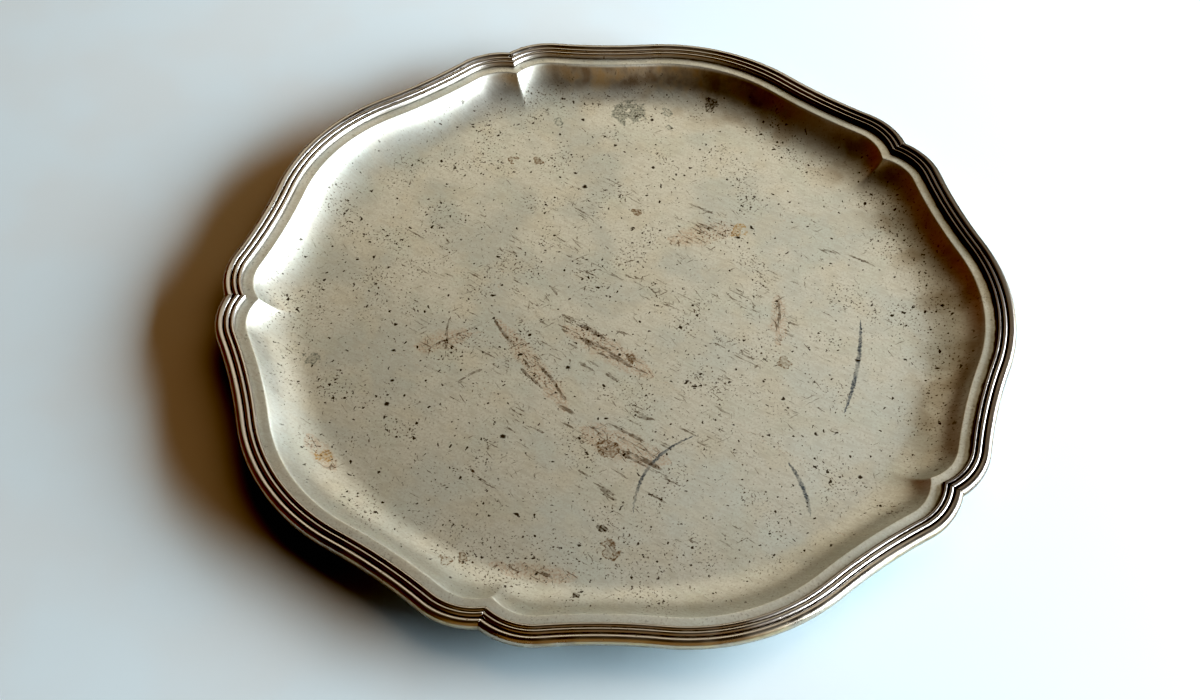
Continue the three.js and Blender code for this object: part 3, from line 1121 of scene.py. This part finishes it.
smoothAngle = math.radians(40)
tray = finishPiece(makeTray(), "trayBody", trayPlate, "tray_body", smoothAngle)
print("tray made:", len(tray.data.polygons), "faces")
for number in range(1, rimShape["lobes"] + 1):
    node = "rim_moulding_%d" % number
    moulding = finishPiece(
        makeMoulding(number), "rimMoulding%d" % number, mouldingPlate, node, smoothAngle,
    )
    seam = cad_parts["solder_seam_%d" % number]
    seam.data.materials.clear()
    seam.data.materials.append(solderGrey)
print("mouldings made:", rimShape["lobes"], "of", len(moulding.data.polygons), "faces")

# plain pale table top
tableShape = {
    "size": 6.0,
    "pale": (0.75, 0.87, 0.95),
    "shade": (0.75, 0.84, 0.90),
    "blotches": {"at": (0, 0), "size": 60.0, "level": 0.3, "range": 0.4},
    "roughness": 0.55,
}


def makeTable():
    s = tableShape
    bm = bmesh.new()
    bmesh.ops.create_grid(bm, x_segments=1, y_segments=1, size=s["size"] / 2)
    mesh = bpy.data.meshes.new("tableTop")
    bm.to_mesh(mesh)
    bm.free()
    table = bpy.data.objects.new("tableTop", mesh)
    bpy.context.scene.collection.objects.link(table)
    material, tree, shader, spot = newMaterial("paleTable")
    blotches = cloudMask(tree, spot, s["blotches"])
    feed(tree, shader.inputs["Base Color"], tint(tree, blotches, s["pale"], s["shade"]))
    shader.inputs["Roughness"].default_value = s["roughness"]
    mesh.materials.append(material)
    return table


table = makeTable()

# a large soft window on the right, a pale wall behind, brown wood on the left and in front, and a dim room;
# the table has a lower window and a warm glow from behind of its own
lightShape = {
    "window": {
        "bearing": math.radians(-2),  # from +X towards +Y
        "elevation": math.radians(21),
        "distance": 1.1,
        "width": 1.25,
        "height": 0.57,
        "power": 31,
        "colour": (0.93, 0.98, 1.0),
    },
    "paleWall": {
        "bearing": math.radians(85),
        "elevation": math.radians(38),
        "distance": 1.5,
        "width": 1.6,
        "height": 1.0,
        "power": 4.3,
        "colour": (1.0, 0.91, 0.74),
    },
    "woodwork": {
        "bearing": math.radians(165),
        "elevation": math.radians(20),
        "distance": 1.5,
        "width": 2.4,
        "height": 1.2,
        "power": 0.9,
        "colour": (1.0, 0.25, 0.05),
    },
    "brownWall": {
        "bearing": math.radians(272),
        "elevation": math.radians(32),
        "distance": 1.5,
        "width": 2.0,
        "height": 1.5,
        "power": 2.4,
        "colour": (1.0, 0.68, 0.36),
    },
    "tableWindow": {
        "bearing": math.radians(3),
        "elevation": math.radians(14),
        "distance": 1.8,
        "width": 2.4,
        "height": 0.8,
        "power": 118,
        "colour": (0.85, 0.96, 1.0),
    },
    "tableGlow": {
        "bearing": math.radians(62),
        "elevation": math.radians(46),
        "distance": 2.5,
        "width": 3.2,
        "height": 2.6,
        "power": 20,
        "colour": (1.0, 0.61, 0.34),
    },
    "room": (0.010, 0.005, 0.002),
    "backdrop": (0.72, 0.78, 0.82),
}


def addLamp(name):
    s = lightShape[name]
    lamp = bpy.data.lights.new(name + "Light", "AREA")
    lamp.shape = "RECTANGLE"
    lamp.size = s["width"]
    lamp.size_y = s["height"]
    lamp.energy = s["power"]
    lamp.color = s["colour"]
    holder = bpy.data.objects.new(name + "Light", lamp)
    flat = math.cos(s["elevation"])
    towards = Vector((
        flat * math.cos(s["bearing"]), flat * math.sin(s["bearing"]), math.sin(s["elevation"]),
    ))
    holder.location = towards * s["distance"]
    holder.rotation_euler = towards.to_track_quat("Z", "Y").to_euler()
    bpy.context.scene.collection.objects.link(holder)
    return holder


# lets a lamp light one piece only, or everything but that piece
def linkLight(lamp, piece, state):
    group = bpy.data.collections.new(lamp.name + "Group")
    group.objects.link(piece)
    group.collection_objects[0].light_linking.link_state = state
    lamp.light_linking.receiver_collection = group


def addRoom():
    world = bpy.data.worlds.new("dimRoom")
    world.use_nodes = True
    bpy.context.scene.world = world
    tree = world.node_tree
    tree.nodes.clear()
    room = addNode(tree, "Background", {"Color": (*lightShape["room"], 1)})
    backdrop = addNode(tree, "Background", {"Color": (*lightShape["backdrop"], 1)})
    seen = addNode(tree, "LightPath")
    mix = addNode(tree, "MixShader", {
        0: seen.outputs["Is Camera Ray"], 1: room.outputs[0], 2: backdrop.outputs[0],
    })
    addNode(tree, "OutputWorld", {"Surface": mix.outputs[0]})


for lampName in ("window", "paleWall", "woodwork", "brownWall"):
    linkLight(addLamp(lampName), table, "EXCLUDE")
for lampName in ("tableWindow", "tableGlow"):
    linkLight(addLamp(lampName), table, "INCLUDE")
addRoom()

# camera, as solved from the rim's cusps
viewShape = {
    "elevation": math.radians(50.784),
    "turn": math.radians(-0.922),
    "roll": math.radians(1.283),
    "distance": 0.6113,
    "aim": Vector((-0.00616, -0.02427, 0.01152)),
    "lens": 50.06,  # this and the sensor in millimetres
    "sensor": 36,
    "clipStart": 0.01,
}


def addCamera():
    s = viewShape
    camera = bpy.data.cameras.new("viewCamera")
    camera.lens = s["lens"]
    camera.sensor_width = s["sensor"]
    camera.clip_start = s["clipStart"]
    holder = bpy.data.objects.new("viewCamera", camera)
    bpy.context.scene.collection.objects.link(holder)
    tilt = Matrix.Rotation(math.pi / 2 - s["elevation"], 4, "X")
    holder.matrix_world = (
        Matrix.Translation(s["aim"]) @ Matrix.Rotation(s["turn"], 4, "Z") @ tilt
        @ Matrix.Rotation(s["roll"], 4, "Z") @ Matrix.Translation((0, 0, s["distance"]))
    )
    bpy.context.scene.camera = holder


addCamera()

# contrast of the photograph, with brown blacks
gradeShape = {"view": "Standard", "look": "High Contrast", "blackLevel": (0.012, 0.019, 0.025)}


def setGrade():
    s = gradeShape
    settings = bpy.context.scene.view_settings
    settings.view_transform = s["view"]
    settings.look = s["look"]
    settings.use_curve_mapping = True
    settings.curve_mapping.black_level = s["blackLevel"]
    settings.curve_mapping.update()


setGrade()
print("table, light and camera set")
